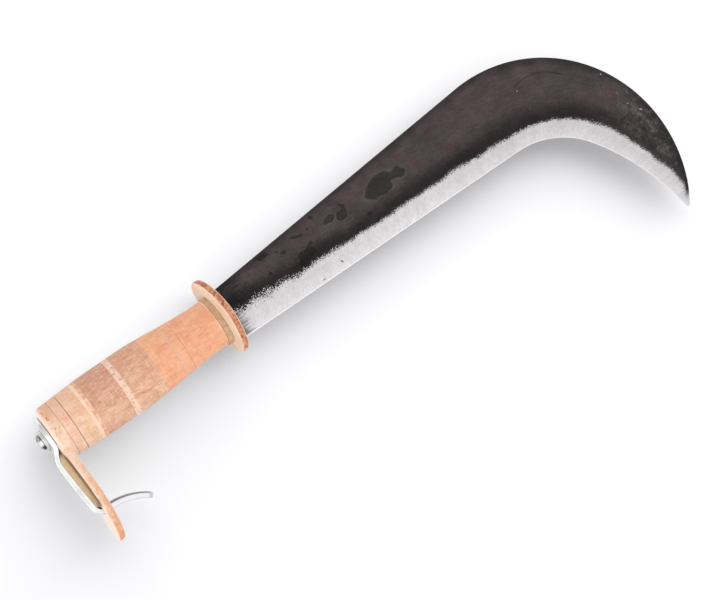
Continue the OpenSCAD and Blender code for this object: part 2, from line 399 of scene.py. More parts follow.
def bladeStations(b):
    # pairs of points, one on the edge and one on the spine, with the run along the edge
    arcs = bladeArcs(b)
    pairs = []
    for t in np.linspace(0, 1, 120, endpoint=False):
        point = between(arcs.edgeStart, arcs.edgeEnd, t)
        heading = towards(90 - b["edgeFall"] * ease(t * 4))
        pairs.append((point, acrossBlade(b, arcs, point, heading), t * b["edgeLength"]))
    run = b["edgeLength"]
    for centre, radius, fromAngle, toAngle, count in (
        (arcs.bendC, b["bendRadius"], arcs.bendFrom, arcs.bendTo, 56),
        (arcs.throatC, b["throatRadius"], arcs.bendTo, arcs.throatTo, 70),
    ):
        for a in np.linspace(fromAngle, toAngle, count, endpoint=False):
            point = centre + radius * towards(a)
            spine = acrossBlade(b, arcs, point, towards(a))
            pairs.append((point, spine, run + radians(fromAngle - a) * radius))
        run += radians(fromAngle - toAngle) * radius
    return pairs + [(edge, spine, run) for edge, spine in tipPairs(b, arcs)]


def bladeRings(b):
    # each ring runs from the edge over the top face, round the spine and back under
    rings, edgeDist, edgeRun, spineDist, grind = [], [], [], [], []
    bevelSteps = np.array([0.08, 0.2, 0.35, 0.5, 0.65, 0.8, 0.92, 0.97, 1.0])
    flatSteps = np.concatenate([[0.01, 0.03], np.linspace(0.08, 1.0, 14)])
    corner = np.radians([18, 36, 54, 72, 90])
    edgeHalf = b["edgeThick"] / 2
    for edge, spine, run in bladeStations(b):
        # the roundings shrink with the section towards the tip
        wide = max(np.linalg.norm(spine - edge), 0.05)
        half = between(b["heelThick"], b["beakThick"], edge[0] / b["length"]) / 2
        width = min(np.interp(run, b["grindAt"], b["grindWidth"]), b["grindShare"] * wide)
        rounding = min(b["spineRound"], 0.2 * wide, 0.6 * half)
        hone = min(b["honeWidth"], 0.3 * width)
        honeHalf = between(b["edgeThick"], b["honeThick"], hone / b["honeWidth"]) / 2
        top = min(half, honeHalf + b["bevelSlope"] * (width - hone))
        crown = b["spineCrown"] * (rounding > 0.3)
        out = np.concatenate([
            [0, hone / 2, hone],
            between(hone, width, bevelSteps),
            between(width, wide - rounding, flatSteps),
            wide - crown - rounding + rounding * np.sin(corner),
        ])
        up = np.concatenate([
            [edgeHalf, (edgeHalf + honeHalf) / 2, honeHalf],
            between(honeHalf, top, bevelSteps),
            np.full(len(flatSteps), top),
            top - rounding * (1 - np.cos(corner)),
        ])
        out = np.concatenate([out, wide - crown * np.array([0.3, 0, 0.3]), out[::-1]])
        up = np.concatenate([up, (top - rounding) * np.array([0.5, 0.0, -0.5]), -up[::-1]])
        rings.append(np.column_stack([edge + (spine - edge) * (out / wide)[:, None], up]))
        edgeDist.append(out)
        edgeRun.append(np.full(len(out), run))
        spineDist.append(wide - out)
        grind.append(np.full(len(out), width))
    return [np.array(part) for part in (rings, edgeDist, edgeRun, spineDist, grind)]


def tangRings(b, around):
    # the tang, its round shank and the peened head, from the shoulder back
    angle = pi - 2 * pi * (np.arange(around) + 0.5) / around
    squareY = np.sign(np.cos(angle)) * np.abs(np.cos(angle)) ** b["tangSquare"]
    squareZ = np.sign(np.sin(angle)) * np.abs(np.sin(angle)) ** b["tangSquare"] * b["tangHalf"]
    tangBack = buttFrontX - shoulderX
    rings = []
    for t in np.linspace(0, 1, 5):
        high = between(b["tangHeel"], b["tangEnd"], t)
        rings.append(np.column_stack([np.full(around, tangBack * t), squareY * high, squareZ]))
    seat = headFrontX - shoulderX
    tall = headFrontX - headBackX
    shank, head = b["shankRadius"], b["headRadius"]
    sections = [(tangBack, shank), (seat + b["headSink"], shank)]
    sections += [(seat, b["footShare"] * head), (seat - b["rimUp"] * tall, b["rimShare"] * head)]
    for a in np.radians(np.linspace(4, 88, b["domeSteps"])):
        sections.append((seat - tall * between(b["domeUp"], 1, sin(a)), head * cos(a)))
    return np.array(rings + [ringAt(x, radius, angle) for x, radius in sections])


def waveFaces(b, points, edgeDist, edgeRun, spineDist, grind):
    # slight waves on flats and bevels, none along their borders
    above = edgeDist - grind
    side = np.sign(points[:, 2])
    onFlat = ease(above / b["flatBorder"]) * ease(spineDist / b["flatBorder"])
    onBevel = ease(edgeDist / b["bevelBorder"]) * ease(-above / b["bevelBorder"])
    lumps = 0.7 * ripple(points * [1, 1, 6], 17, 1.3) + 0.3 * ripple(points * [1, 1, 6], 6, 5.1)
    waves = ripple(np.column_stack([edgeRun, edgeDist * 0.3, side * 9]), 5.5, 2.7)
    sunk = b["flatWave"] * (lumps - b["flatHollow"]) * onFlat
    points[:, 2] += side * (sunk + b["bevelWave"] * waves * onBevel)


def hammerHead(b, head):
    # the peened head keeps the marks of the hammer, and dark patches at two sides: scorch and painted dark
    # reflections
    dents = b["dent"] * ripple(head, 2.1, 4.4)
    head[:, 0] += np.clip(dents, -b["dentOut"], b["dentIn"]) + b["dentOut"]
    broken = 1 - 0.6 * ease((ripple(head, 1.5, 9.3) - 0.05) / 0.3)
    height = head[:, 1]
    patches = 0.0
    for reach, (start, full, depth) in ((height, b["scorchReflectSpine"]), (-height, b["scorchReflectEdge"])):
        patches = patches + depth * ease((reach - start) / (full - start))
    return patches * broken


def makeBlade(b):
    rings, *distances = bladeRings(b)
    tang = tangRings(b, rings.shape[1])
    side = np.sign(rings[:, :, 2])
    waveFaces(b, rings.reshape(-1, 3), *[values.ravel() for values in distances])
    head = tang[-b["domeSteps"] - 1:].reshape(-1, 3)
    scorchedAndReflected = hammerHead(b, head)
    rings = np.concatenate([rings[::-1], tang])
    rings[:, :, 0] += shoulderX
    piece = skin("bladeForging", rings)
    spare = tang.shape[0] * tang.shape[1]
    tangDist = np.full(spare, 2.0)
    # the head takes the honed edge's white colour: a painted highlight on the dome
    tangDist[-len(head):] = 0.2  # the peened head is as bright as the honed edge
    names = ("edgeDist", "edgeRun", "spineDist", "grind", "side")
    for name, values, onTang in zip(names, distances + [side], (tangDist, 100.0, 5.0, 8.0, 0.0)):
        paintVerts(piece, name, np.concatenate([values[::-1].ravel(), np.broadcast_to(onTang, spare)]))
    spots = np.zeros(len(piece.data.vertices))
    spots[-len(scorchedAndReflected):] = scorchedAndReflected
    paintVerts(piece, "scorchAndReflection", spots)
    finishMesh(piece, 30)
    return piece


forged = dict(
    warm=tone(80, 68, 70, 0.88), plain=tone(70, 63, 63, 0.88), black=tone(47, 42, 42, 0.8),
    rim=tone(86, 78, 79, 0.86), beak=tone(52, 51, 49, 0.85), scuffed=tone(128, 120, 119),
    bright=tone(208, 205, 205), brushed=tone(186, 183, 184), hone=tone(228, 228, 228),
    scorchedAndReflected=tone(78, 60, 62),
    # marks on the upper face in mm: place, half length, half width, turn in degrees
    stains=(
        (183.0, 11.2, 11.5, 6.0, 14), (183.5, 7.4, 7.5, 3.0, -3), (195.0, 11.2, 7.5, 3.0, -10),
        (147.0, 11.3, 4.5, 2.7, 10), (155.3, 9.2, 4.2, 3.3, 12), (125.0, 2.0, 6.2, 3.9, 0),
        (120.5, -1.5, 3.4, 2.9, 40),
        (113.4, 10.4, 1.7, 1.5, 0), (133.5, 13.7, 1.0, 0.9, 0), (125.3, 13.9, 4.8, 1.2, -12),
        (138.1, 17.9, 2.0, 1.4, -8), (102.1, 15.5, 4.2, 2.0, -13), (72.0, 3.0, 5.0, 4.0, 50),
    ),
    nicks=((139.7, -13.2, 1.2, 0.6, -68), (124.9, -16.0, 1.5, 0.35, -3)),
    flecks=(
        (286.8, 10.4, 0.5, 0.5, 0), (345.6, -41.2, 1.3, 0.6, -40), (336.9, -10.0, 0.7, 0.5, 0),
        (340.9, -33.7, 0.6, 0.5, 0),
    ),
    scratch=(294.0, -13.0, 27.3, 27.3, 0), scratchX=(284.0, 288.0), scratchY=(0.0, 4.0),
    wobble=4.0, slant=0.32, tipBright=(6.0, 1.5),
    # stretches of the edge: from and to in mm of its run, and the values there
    loose=(85, 25, 1.0, 2.6), combed=(60, 130, 5.0, 1.9), islandsFrom=(15, 40), islandsTo=(190, 120),
    beakFrom=(235, 275), beakDark=(240, 290, 0.0, 0.72), lowDark=(235, 285, 0.26, 0.66),
    lowHeight=(110, 190, 12.5, 16.0), dull=(140, 200, 1.0, 0.9), honeFade=(130, 210, 1.0, 0.6),
    scaleSootShade=(21, 9, 0.0, 0.85), steelSootShade=(12, 1.5, 0.0, 0.9),
    # the same up from the edge, up from the grind, and down from the spine
    honedHighlight=(0.70, 0.30), edgeHighlight=(0.5, 8.0, 1.1, 0.97), beakUp=(0.5, 4.5), topDark=(0.8, 7.5, 0.55, 1.0),
)


def markShape(m, vector, x, y, halfLong, halfWide, turn):
    # 1 in the middle of an ellipse that lies on the blade, 0 on its outline
    local = add(
        m, "Mapping", {"vector_type": "TEXTURE"}, Vector=vector, Location=(x * mm, y * mm, 0),
        Rotation=(0, 0, radians(turn)), Scale=(halfLong * mm, halfWide * mm, 1),
    )
    reach = add(m, "VectorMath", {"operation": "LENGTH"}, Vector=local.outputs["Vector"])
    return minus(m, 1.0, reach.outputs["Value"])


def anyMark(m, vector, marks):
    shape = markShape(m, vector, *marks[0])
    for mark in marks[1:]:
        shape = larger(m, shape, markShape(m, vector, *mark))
    return shape


def crookedPlace(m, spot, wobble):
    # the place on the blade, pushed about so that marks get crooked outlines
    push = add(m, "TexNoise", Vector=spot, Scale=190.0, Detail=2.0).outputs["Color"]
    centred = add(m, "Mapping", Vector=spot, Location=(-wobble / 2, -wobble / 2, 0)).outputs["Vector"]
    moved = add(m, "VectorMath", {"operation": "MULTIPLY_ADD"})
    for socket, source in zip(moved.inputs, (push, (wobble, wobble, 0.0), centred)):
        plug(m, socket, source)
    return moved.outputs["Vector"]


def bladeSockets(m, look):
    # distances painted on the blade, and the noises that scale and ground steel share
    on = SimpleNamespace(spot=place(m), dist=painted(m, "edgeDist"), run=painted(m, "edgeRun"))
    on.spine = painted(m, "spineDist")
    on.above = minus(m, on.dist, painted(m, "grind"))
    side = painted(m, "side")
    on.upper = step(m, side, 0.2, 0.8)
    # brush lines cross the edge at a slant, hairs run along it, and each side of the blade has its own
    layer = times(m, side, 9.0)
    slanted = minus(m, on.run, times(m, on.dist, look["slant"]))
    brush = vectorOf(m, slanted, times(m, on.dist, 0.13), layer)
    on.lines = cloud(m, brush, 3.2, 3.0, 0.7)
    on.broad = cloud(m, brush, 0.30, 2.0)
    on.comb = cloud(m, vectorOf(m, slanted, times(m, on.dist, 0.42), layer), 1.5, 2.0, 0.6)
    on.hairs = cloud(m, vectorOf(m, times(m, on.run, 0.12), on.dist, layer), 1.6, 3.0, 0.6)
    on.patches = cloud(m, vectorOf(m, on.run, on.dist, layer), 0.11, 3.0, 0.42)
    on.drift = cloud(m, on.spot, 75, 2.0)
    on.stipple = cloud(m, on.spot, 1500, 2.0, 0.6)
    on.mottled = step(m, cloud(m, on.spot, 120, 4.0, 0.62), 0.25, 0.75, 0.80, 1.18)
    # soot and painted shade: the blade darkens along this run towards the guard
    on.soot = shaken(m, on.run, on.hairs, 18.0)
    return on


def groundPart(m, on, look, tipRun):
    # the grind ends in a stippled, combed line, looser near the guard, and takes in the whole tip
    ragged = plus(m, times(m, on.stipple, 7.0), times(m, on.drift, 4.0))
    ragged = times(m, minus(m, ragged, 4.6), step(m, on.run, *look["loose"]))
    ragged = shaken(m, ragged, on.comb, step(m, on.run, *look["combed"]))
    ground = step(m, plus(m, on.above, ragged), 1.2, -1.0)
    tipFrom, tipTo = [tipRun - reach for reach in look["tipBright"]]
    return larger(m, ground, step(m, shaken(m, on.run, on.stipple, 6.0), tipFrom, tipTo))


def darkIslands(m, on, look):
    # crisp dark islands on the scale and the paler rims round them; those on the upper face have their places
    marks = anyMark(m, crookedPlace(m, on.spot, look["wobble"] * mm), look["stains"])
    moreOf = times(m, step(m, on.run, *look["islandsFrom"]), step(m, on.run, *look["islandsTo"]))
    island = shaken(m, plus(m, on.patches, times(m, moreOf, 0.10)), on.stipple, 0.10)
    marked = times(m, step(m, marks, 0.0, 0.15), on.upper)
    ringed = times(m, step(m, marks, -0.20, -0.04), on.upper)
    return larger(m, marked, step(m, island, 0.745, 0.760)), larger(m, ringed, step(m, island, 0.712, 0.748))


def scaleColour(m, on, look, dark, paler):
    # forge scale: warm and plain stretches with islands, soot and painted shade by the guard, a dull and
    # scuffed beak
    scuff = cloud(m, stretched(m, on.spot, 170, 150, 170), 1.0, 5.0, 0.72, 1.2)
    sunk = cloud(m, on.spot, 190, 4.0, 0.7, 1.0)
    onBeak = times(m, step(m, on.run, *look["beakFrom"]), step(m, on.above, *look["beakUp"]))
    scale = layered(
        m, look, look["plain"],
        (step(m, cloud(m, on.spot, 20, 3.0), 0.33, 0.53), "warm"),
        (times(m, paler, 0.75), "rim"),
        (times(m, dark, 0.85), "black"),
        # soot and painted shade on the scale by the guard
        (step(m, shaken(m, on.soot, on.stipple, 16.0), *look["scaleSootShade"]), "black"),
        (times(m, onBeak, step(m, on.run, *look["beakDark"])), "beak"),
        (times(m, onBeak, step(m, scuff, 0.47, 0.66, 0.0, 0.46)), "scuffed"),
        (times(m, onBeak, step(m, sunk, 0.50, 0.60, 0.0, 0.6)), "black"),
    )
    # one thin scratch, dark bands above the grind and below the spine, and a few bright flecks
    at = axes(m, on.spot)
    scratch = step(m, maths(m, "ABSOLUTE", markShape(m, on.spot, *look["scratch"])), 0.022, 0.008)
    scratch = times(m, scratch, stepAt(m, at["Y"], *look["scratchY"]), stepAt(m, at["X"], *look["scratchX"]))
    scratchDark = minus(m, 1.0, times(m, scratch, on.upper, 0.38))
    lowBand = shaken(m, shaken(m, on.above, on.drift, 7.0), on.stipple, 7.0)
    lowTop, darkest = [step(m, on.run, *look[key]) for key in ("lowHeight", "lowDark")]
    lowBand = step(m, lowBand, 2.5, lowTop, darkest, 1.0)
    topBand = step(m, shaken(m, on.spine, on.drift, 7.0, 0.4), *look["topDark"])
    grainy = step(m, on.stipple, 0.2, 0.8, 0.84, 1.16)
    drawn = step(m, on.hairs, 0.30, 0.70, 0.88, 1.12)
    scale = shaded(m, scale, lowBand, topBand, on.mottled, grainy, drawn, scratchDark)
    flecks = step(m, anyMark(m, on.spot, look["flecks"]), 0.0, 0.6, 0.0, 0.7)
    return layered(m, look, scale, (times(m, flecks, on.upper), "brushed"))


def steelColour(m, on, look):
    # ground steel: brush lines, a duller stretch round the bend, soot and painted shade by the guard, a
    # painted highlight towards the edge, a white honed edge with a painted highlight, scorch and painted dark
    # reflections on the head
    steel = shaded(
        m, layered(m, look, look["brushed"], (step(m, on.lines, 0.32, 0.68), "bright")),
        # painted highlight: the bevel is painted brighter towards the edge
        step(m, on.run, *look["dull"]), step(m, on.dist, *look["edgeHighlight"]),
        step(m, on.broad, 0.25, 0.75, 0.95, 1.04),
    )
    nicks = step(m, anyMark(m, on.spot, look["nicks"]), 0.0, 0.4, 0.0, 0.75)
    return layered(
        m, look, steel,
        # soot and painted shade on the ground steel by the guard
        (step(m, on.soot, *look["steelSootShade"]), "black"),
        (times(m, nicks, on.upper), "black"),
        # honed edge: polished steel with a painted highlight along it
        (times(m, step(m, on.dist, *look["honedHighlight"]), step(m, on.run, *look["honeFade"])), "hone"),
        # scorch and painted dark reflections at the two sides of the head
        (painted(m, "scorchAndReflection"), "scorchedAndReflected"),
    )


def forgedSteel(look, tipRun):
    m = newMaterial("forgedSteel")
    on = bladeSockets(m, look)
    ground = groundPart(m, on, look, tipRun)
    dark, paler = darkIslands(m, on, look)
    pits = times(m, cloud(m, on.spot, 260, 5.0, 0.65), minus(m, 1.0, ground))
    relief = minus(m, pits, times(m, dark, 0.12))
    relief = plus(m, relief, times(m, on.lines, ground, 0.35))
    shader(
        m,
        Base_Color=mixColour(m, ground, scaleColour(m, on, look, dark, paler), steelColour(m, on, look)),
        Metallic=ground,
        Roughness=plus(m, step(m, ground, 0.0, 1.0, 0.48, 0.32), times(m, on.mottled, 0.08)),
        Specular_IOR_Level=0.12,
        Normal=bump(m, relief, 0.12, 0.8),
    )
    return m


bladePiece = makeBlade(blade)
tipRun = bladeStations(blade)[-1][2]
fitPiece(bladePiece, "forged_steel", forgedSteel(forged, tipRun), "blade")
print("blade: %d points" % len(bladePiece.data.vertices))


# Leather: fibres run along the tang, with mottling, pores, darker seams and painted shade on the spine side
def hide(base, deep, light, dark, **more):
    look = dict(base=tone(*base), deep=tone(*deep), light=tone(*light), dark=tone(*dark), **more)
    return dict(look, seam=tone(92, 56, 40), wornSheen=tone(251, 220, 194), spineFrom=(-12, 16))  # in mm along Y


leatherLooks = dict(
    orange=hide(
        (246, 182, 144), (238, 167, 129), (251, 204, 170), (216, 142, 106),
        streak=0.55, layers=0.36,
    ),
    grey=hide(
        (242, 184, 148), (232, 180, 148), (248, 200, 168), (204, 150, 120),
        streak=0.35, dots=tone(206, 180, 160), dotSize=760, dotDepth=0.5,
    ),
    rose=hide(
        (239, 196, 162), (222, 169, 138), (248, 214, 184), (190, 135, 106),
        streak=0.68, spineSide=0.20,
    ),
    brown=hide(
        (231, 186, 156), (215, 162, 134), (243, 206, 178), (186, 128, 103),
        streak=0.68, spineSide=0.18, patch=130,
    ),
    paleDotted=hide(
        (250, 217, 195), (242, 203, 179), (252, 228, 210), (222, 170, 144),
        streak=0.25, dots=tone(206, 154, 132), dotSize=600, dotDepth=0.75,
    ),
    pale=hide(
        (252, 219, 194), (248, 206, 178), (254, 230, 210), (234, 178, 146),
        streak=0.3, frontStripe=tone(229, 169, 133),
    ),
    tan=hide(
        (246, 211, 182), (236, 191, 157), (251, 224, 198), (212, 162, 126),
        streak=0.5, spineSide=0.16, patch=120,
    ),
    peach=hide(
        (250, 217, 193), (238, 190, 159), (252, 228, 209), (210, 154, 122),
        streak=0.32, spineSide=0.14,
    ),
    # the spacer's leather, with the shade of its recess between guard and grip painted into its darker olive
    # tone
    spacer=hide(
        (214, 172, 131), (198, 152, 112), (228, 190, 151), (160, 113, 80),
        streak=0.45,
    ),
)


def leather(name, look):
    m = newMaterial(name)
    spot = place(m)
    fibre = cloud(m, stretched(m, spot, 230, 1250, 1250), 1.0, 3.0, 0.62)
    bundle = cloud(m, stretched(m, spot, 120, 460, 460), 1.0, 3.0, 0.6)
    layers = cloud(m, stretched(m, spot, 1400, 130, 130), 1.0, 2.0)
    mottle = cloud(m, stretched(m, spot, 1.0, 1.4, 1.4), look.get("patch", 95), 4.0, 0.6, 0.4)
    grain = cloud(m, spot, 1700, 2.0, 0.6)
    streak = look["streak"]
    # painted shade: the spine side of the grip is painted darker
    spineSide = stepAt(m, axes(m, spot)["Y"], *look["spineFrom"], 0.0, look.get("spineSide", 0.0))
    colour = layered(
        m, look, look["base"],
        (step(m, plus(m, mottle, spineSide), 0.36, 0.66), "deep"),
        (step(m, bundle, 0.54, 0.72, 0.0, 0.35 * streak), "light"),
        (step(m, bundle, 0.46, 0.30, 0.0, 0.45 * streak), "dark"),
        (step(m, fibre, 0.52, 0.70, 0.0, streak), "light"),
        (step(m, fibre, 0.48, 0.30, 0.0, streak), "dark"),
        (step(m, layers, 0.50, 0.32, 0.0, look.get("layers", 0.3)), "dark"),
        (step(m, grain, 0.55, 0.75, 0.0, 0.22), "dark"),
    )
    hueDrift = step(m, cloud(m, spot, 230, 3.0, 0.6), 0.32, 0.68, 0.494, 0.505)
    colour = add(m, "HueSaturation", Hue=hueDrift, Color=colour).outputs["Color"]
    coats = []
    if "frontStripe" in look:
        broken = step(m, cloud(m, spot, 420, 2.0), 0.40, 0.56, 0.3, 1.0)
        coats.append((times(m, step(m, painted(m, "depth"), 0.60, 0.46), broken), "frontStripe"))
    if "dots" in look:
        beads = cloud(m, spot, look["dotSize"], 2.0, 0.5)
        coats.append((step(m, beads, 0.55, 0.64, 0.0, look["dotDepth"]), "dots"))
    rubbed = step(m, cloud(m, spot, 520, 2.0), 0.44, 0.58, 0.0, 0.75)
    coats.append((times(m, painted(m, "seam"), 0.85), "seam"))
    # the worn arris is lighter, with a painted highlight
    coats.append((times(m, painted(m, "wornSheen"), rubbed), "wornSheen"))
    relief = plus(m, times(m, fibre, 0.8), times(m, grain, 0.4))
    relief = plus(m, relief, times(m, layers, 0.5))
    shader(
        m,
        Base_Color=layered(m, look, colour, *coats),
        Roughness=step(m, grain, 0.3, 0.7, 0.52, 0.72),
        Specular_IOR_Level=0.28,
        Normal=bump(m, relief, 0.14, 0.7),
    )
    return m


leatherOf = {key: leather("leather" + key[0].upper() + key[1:], look) for key, look in leatherLooks.items()}

# Grip: washers threaded on the tang and turned to one barrel
grip = dict(
    frontRadius=14.9, swellRadius=18.5, buttRadius=17.3,
    swellFrom=4.56, swellOver=54.72, buttFrom=79.8, buttOver=34.2,
    around=144, slotPlay=0.35, outOfRound=0.07,
    # arris and darkness of a seam: the closed ones, and the open ones by the number of washers before them
    closedSeam=(0.06, 0.12), openSeams={0: (0.45, 0.0), 5: (0.16, 0.85), 22: (0.34, 1.0), 23: (0.34, 1.0)},
    finishes=("orange",) * 6 + ("grey",) + ("orange",) * 3 + ("rose",) * 4 + ("paleDotted",)
    + ("brown",) * 4 + ("pale",) + ("tan",) * 2 + ("peach",),
)


def barrelRadius(x, g=grip):
    back = gripFrontX - x
    swell = (g["swellRadius"] - g["frontRadius"]) * ease((back - g["swellFrom"]) / g["swellOver"])
    taper = (g["swellRadius"] - g["buttRadius"]) * ease((back - g["buttFrom"]) / g["buttOver"])
    return g["frontRadius"] + swell - taper


def slotOutline(x, around, play, squareness=8):
    # distance from the axis to the slot's wall, for each direction round the tang
    high = between(blade["tangHeel"], blade["tangEnd"], (shoulderX - x) / (shoulderX - buttFrontX)) + play
    wide = blade["tangHalf"] + play
    across, up = np.abs(np.cos(turns(around))), np.abs(np.sin(turns(around)))
    return ((across / high) ** squareness + (up / wide) ** squareness) ** (-1 / squareness)


def lathe(name, profile, hole, lumps, seed):
    # a closed ring: the profile is (x, radius, seam, wornSheen) from the front face to the back face
    meanRadius = 16
    angle = turns(len(hole))
    x, radius, seam, wornSheen = np.array(profile).T
    rows = [(x[0], hole)] + list(zip(x, radius)) + [(x[-1], hole)]
    rings = np.array([ringAt(at, r, angle) for at, r in rows])
    outside = rings[1:-1].reshape(-1, 3)
    outside[:, 1:] *= (1 + lumps / meanRadius * ripple(outside * [0.6, 1, 1], 9, seed))[:, None]
    piece = skin(name, rings, loop=True)
    depth = np.pad((x[0] - x) / (x[0] - x[-1]), 1, "edge")
    for label, values in (("seam", np.pad(seam, 1)), ("wornSheen", np.pad(wornSheen, 1)), ("depth", depth)):
        paintVerts(piece, label, np.repeat(values, len(angle)))
    finishMesh(piece)
    return piece


def roundedProfile(frontX, endX, radiusAt, frontArris, endArris, frontSeam, endSeam, wornSheen=0.0):
    # from the front face over two rounded arrises to the back face
    turn = np.radians((35, 65, 90))
    profile = [(frontX, radiusAt(frontX) - frontArris, frontSeam, wornSheen)]
    for a in turn:
        x = frontX - frontArris * (1 - cos(a))
        profile.append((x, radiusAt(x) - frontArris * (1 - sin(a)), frontSeam * cos(a), wornSheen))
    x = frontX - frontArris - 0.3
    profile.append((x, radiusAt(x), 0, 0.8 * wornSheen))
    for x in np.linspace(frontX - frontArris - 0.8, endX + endArris + 0.15, 5):
        profile.append((x, radiusAt(x), 0, 0))
    for a in turn[::-1]:
        x = endX + endArris * (1 - cos(a))
        profile.append((x, radiusAt(x) - endArris * (1 - sin(a)), endSeam * cos(a), 0))
    profile.append((endX, radiusAt(endX) - endArris, endSeam, 0))
    return profile


def makeGrip(g):
    for number, finish in enumerate(g["finishes"], 1):
        node = "grip_washer_%02d" % number
        frontArris, frontSeam = g["openSeams"].get(number - 1, g["closedSeam"])
        backArris, backSeam = g["openSeams"].get(number, g["closedSeam"])
        # the first washer's front arris: wear with a painted highlight
        wornSheen = 1.0 if number == 1 else 0.0
        profile = roundedProfile(
            frontOf(node), backOf(node), barrelRadius, frontArris, backArris, frontSeam, backSeam, wornSheen,
        )
        hole = slotOutline(frontOf(node), g["around"], g["slotPlay"])
        washer = lathe("gripLeather%02d" % number, profile, hole, g["outOfRound"], 0.37 * number)
        slotName = "leather_" + ("pale" if finish == "paleDotted" else finish)
        fitPiece(washer, slotName, leatherOf[finish], node)


makeGrip(grip)
print("grip: %d washers" % len(grip["finishes"]))

# Spacer and guard: the guard is a soft disc, bent back at the spine side and forward at the near side
spacer = dict(radius=15.8, arris=0.55, frontSeam=0.55, backSeam=0.3, outOfRound=0.12)
guard = dict(
    radius=24.5, lift=1.3, rimRound=1.4, rimCrown=0.08, faceFrom=10.0, around=180,
    bendFrom=13.0, backAtSpine=1.6, forwardNear=1.5, backFar=0.5,
    ripple=0.12, rippleSize=11.0, rippleFrom=15.0, rippleOver=6.0,
)


def makeSpacer(s):
    profile = roundedProfile(
        guardBackX, gripFrontX, lambda x: s["radius"], s["arris"], s["arris"], s["frontSeam"], s["backSeam"],
    )
    hole = slotOutline(guardBackX, grip["around"], grip["slotPlay"])
    ring = lathe("spacerLeather", profile, hole, s["outOfRound"], 8.8)
    fitPiece(ring, "leather_spacer", leatherOf["spacer"], "guard_spacer")


def makeGuard(g):
    # rings from the slot over the front face, round the rim and back over the rear face
    angle = turns(g["around"])
    rim = g["rimRound"]
    inner = g["radius"] - g["rimCrown"] - rim
    front = [(shoulderX, r) for r in np.linspace(g["faceFrom"], inner, 9)]
    for a in np.radians(np.linspace(0, 90, 7)[1:]):
        front.append((shoulderX - rim * (1 - cos(a)), inner + rim * sin(a)))
    centreX = (shoulderX + guardBackX) / 2
    profile = front + [(centreX, g["radius"])] + [(2 * centreX - x, r) for x, r in front[::-1]]
    spineSide = np.clip(np.cos(angle), 0, 1) ** 1.4
    nearSide = np.clip(np.sin(angle), 0, 1)
    farSide = np.clip(-np.sin(angle), 0, 1)
    shift = -g["backAtSpine"] * spineSide + g["forwardNear"] * nearSide - g["backFar"] * farSide
    rings = []
    for x, radius in profile:
        ring = ringAt(x, radius, angle)
        ring[:, 0] += ease((radius - g["bendFrom"]) / (g["radius"] - g["bendFrom"])) * shift
        ring[:, 1] += g["lift"]
        rings.append(ring)
    hole = slotOutline(shoulderX, g["around"], grip["slotPlay"])
    rings = np.array([ringAt(shoulderX, hole, angle)] + rings + [ringAt(guardBackX, hole, angle)])
    flat = rings.reshape(-1, 3)
    reach = np.hypot(flat[:, 1] - g["lift"], flat[:, 2])
    loose = ease((reach - g["rippleFrom"]) / g["rippleOver"])
    flat[:, 0] += g["ripple"] * ripple(flat * [0.2, 1, 1], g["rippleSize"], 6.2) * loose
    disc = skin("guardLeather", rings, loop=True)
    finishMesh(disc, 50)
    return disc


def skinLeather(name, look, addStains=None):
    # a thick hide: pale smooth faces, and a cut edge that was stained and burnished in patches
    m = newMaterial(name)
    spot = place(m)
    onFace = step(m, maths(m, "ABSOLUTE", facing(m)["X"]), look["faceFrom"], look["faceTo"])
    soft = cloud(m, spot, 70, 4.0, 0.55)
    pores = cloud(m, spot, 1600, 3.0, 0.6)
    stain = cloud(m, stretched(m, spot, 1.5, 1.0, 1.0), look["stainSize"], 5.0, 0.68, 0.5)
    burn = cloud(m, spot, look["stainSize"] * 2.4, 4.0, 0.7)
    face = layered(
        m, look, look["face"],
        (step(m, soft, 0.35, 0.68), "faceDeep"),
        (step(m, pores, 0.56, 0.72, 0.0, 0.2), "edgeDeep"),
    )
    edge = layered(
        m, look, look["edge"],
        (step(m, stain, 0.38, 0.62), "edgeDeep"),
        (step(m, burn, look["burnFrom"], look["burnTo"], 0.0, look["burnDepth"]), "edgeBurn"),
        (step(m, burn, 0.44, 0.30, 0.0, look["palePatch"]), "edgePale"),
    )
    if addStains:
        face, edge = addStains(m, look, spot, stain, face, edge)
    shader(
        m,
        Base_Color=mixColour(m, onFace, edge, face),
        Roughness=step(m, burn, 0.3, 0.7, 0.5, 0.7),
        Specular_IOR_Level=0.3,
        Normal=bump(m, plus(m, times(m, pores, 0.5), times(m, burn, 0.9)), 0.18, 0.7),
    )
    return m


guardLook = dict(
    face=tone(248, 214, 188), faceDeep=tone(239, 198, 168), faceFrom=0.36, faceTo=0.62,
    edge=tone(222, 157, 117), edgeDeep=tone(196, 121, 83), edgeBurn=tone(144, 74, 49),
    edgePale=tone(246, 202, 174), palePatch=0.5,
    stainSize=215, burnFrom=0.49, burnTo=0.60, burnDepth=0.85,
)
makeSpacer(spacer)
fitPiece(makeGuard(guard), "leather_guard", skinLeather("guardHide", guardLook), "guard_disc")
print("guard and spacer on")

# Belt hook: one steel strip bent out of a round plate, down behind the tongue and through its slot
hook = dict(
    thick=hookThick, plateRadius=13.0, bendHalf=6.0, strapFrom=7.5, bow=3.2, strapOff=1.0,
    prongDrop=51.4, bendRadius=4.6, flareFrom=4.4, flareRadius=38.0, flareTurn=40.5,
    prongEnd=4.0, prongThick=3.3, prongRoll=4.5, edgeRound=0.5, bore=3.7, drillEnds=(2.0, -6.0),
    kinkSoft=1.2, kinkReach=6.0, thickFrom=24.0, thickOver=30.0,
    strapTwist=13.0, twistFrom=18.5, twistOver=12.0, rollBefore=6.0, rollAfter=8.0,
)


